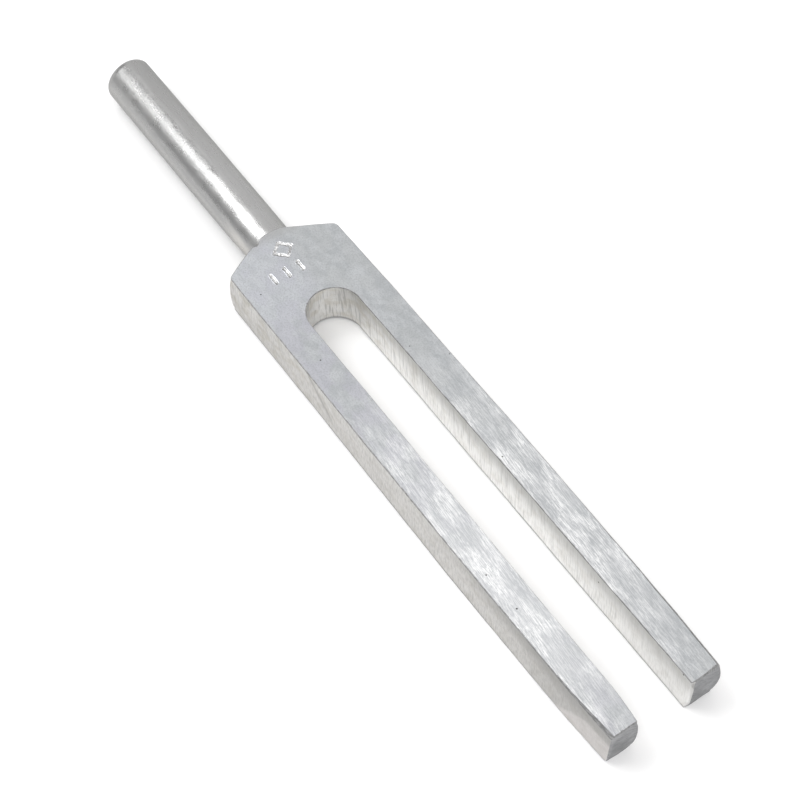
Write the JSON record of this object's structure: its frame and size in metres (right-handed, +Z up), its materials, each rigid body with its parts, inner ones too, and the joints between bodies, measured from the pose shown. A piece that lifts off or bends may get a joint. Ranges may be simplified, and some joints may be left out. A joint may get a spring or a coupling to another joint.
{
  "type": "tuning fork",
  "caption": "Aluminium tuning fork: a flat two-tined head with a round-crowned slot and sloping shoulders, and a plain round stem with a domed foot.",
  "frame": {"origin": "under the middle of the fork's length and width, on the surface that it lies on", "axes": "+X along the fork from the stem's foot to the tine tips, +Y across the two tines, +Z up through the bar's thickness, away from the surface"},
  "size_m": [0.177, 0.024, 0.01],
  "materials": {
    "ground_aluminium": "satin, belt-ground along the tines, with fine cross lines on the sawn sides",
    "polished_aluminium": "hand-polished, with small pits"
  },
  "bodies": {
    "root": {"fork_body": "ground_aluminium", "stem": "polished_aluminium"}
  },
  "joints": []
}
